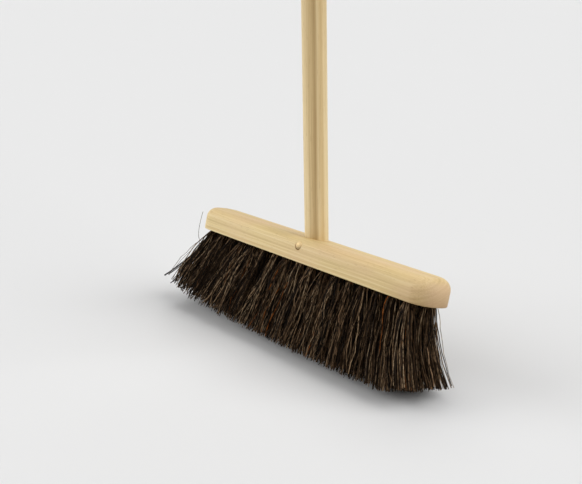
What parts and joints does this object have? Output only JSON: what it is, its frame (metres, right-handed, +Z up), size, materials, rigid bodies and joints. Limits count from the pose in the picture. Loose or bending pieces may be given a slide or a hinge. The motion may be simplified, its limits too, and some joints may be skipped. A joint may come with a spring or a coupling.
{
  "type": "broom",
  "caption": "Wide floor broom: a round-ended wooden stock with rows of stiff dark fibre tufts in its underside, set at an angle on a plain round wooden handle.",
  "frame": {"origin": "on the floor, in the middle of the broom's outline seen from above", "axes": "+Z up along the handle, X along the stock, the front of the stock towards -Y"},
  "size_m": [0.4606, 0.0894, 1.5122],
  "materials": {
    "stock_wood": "sanded, unvarnished pale hardwood",
    "handle_wood": "turned and sanded softwood",
    "fibre": "stiff dark brown plant fibre, dull",
    "anchor_wire": "flat steel wire",
    "screw_steel": "yellow passivated steel"
  },
  "bodies": {
    "root": {"stock": "stock_wood", "handle": "handle_wood", "handle_screw": "screw_steel", "fibre_row_1": "fibre", "fibre_row_2": "fibre", "fibre_row_3": "fibre", "anchor_row_1_01": "anchor_wire", "anchor_row_1_02": "anchor_wire", "anchor_row_1_03": "anchor_wire", "anchor_row_1_04": "anchor_wire", "anchor_row_1_05": "anchor_wire", "anchor_row_1_06": "anchor_wire", "anchor_row_1_07": "anchor_wire", "anchor_row_1_08": "anchor_wire", "anchor_row_1_09": "anchor_wire", "anchor_row_1_10": "anchor_wire", "anchor_row_1_11": "anchor_wire", "anchor_row_1_12": "anchor_wire", "anchor_row_1_13": "anchor_wire", "anchor_row_1_14": "anchor_wire", "anchor_row_1_15": "anchor_wire", "anchor_row_1_16": "anchor_wire", "anchor_row_1_17": "anchor_wire", "anchor_row_2_01": "anchor_wire", "anchor_row_2_02": "anchor_wire", "anchor_row_2_03": "anchor_wire", "anchor_row_2_04": "anchor_wire", "anchor_row_2_05": "anchor_wire", "anchor_row_2_06": "anchor_wire", "anchor_row_2_07": "anchor_wire", "anchor_row_2_08": "anchor_wire", "anchor_row_2_09": "anchor_wire", "anchor_row_2_10": "anchor_wire", "anchor_row_2_11": "anchor_wire", "anchor_row_2_12": "anchor_wire", "anchor_row_2_13": "anchor_wire", "anchor_row_2_14": "anchor_wire", "anchor_row_2_15": "anchor_wire", "anchor_row_2_16": "anchor_wire", "anchor_row_2_17": "anchor_wire", "anchor_row_2_18": "anchor_wire", "anchor_row_3_01": "anchor_wire", "anchor_row_3_02": "anchor_wire", "anchor_row_3_03": "anchor_wire", "anchor_row_3_04": "anchor_wire", "anchor_row_3_05": "anchor_wire", "anchor_row_3_06": "anchor_wire", "anchor_row_3_07": "anchor_wire", "anchor_row_3_08": "anchor_wire", "anchor_row_3_09": "anchor_wire", "anchor_row_3_10": "anchor_wire", "anchor_row_3_11": "anchor_wire", "anchor_row_3_12": "anchor_wire", "anchor_row_3_13": "anchor_wire", "anchor_row_3_14": "anchor_wire", "anchor_row_3_15": "anchor_wire", "anchor_row_3_16": "anchor_wire", "anchor_row_3_17": "anchor_wire"}
  },
  "joints": []
}
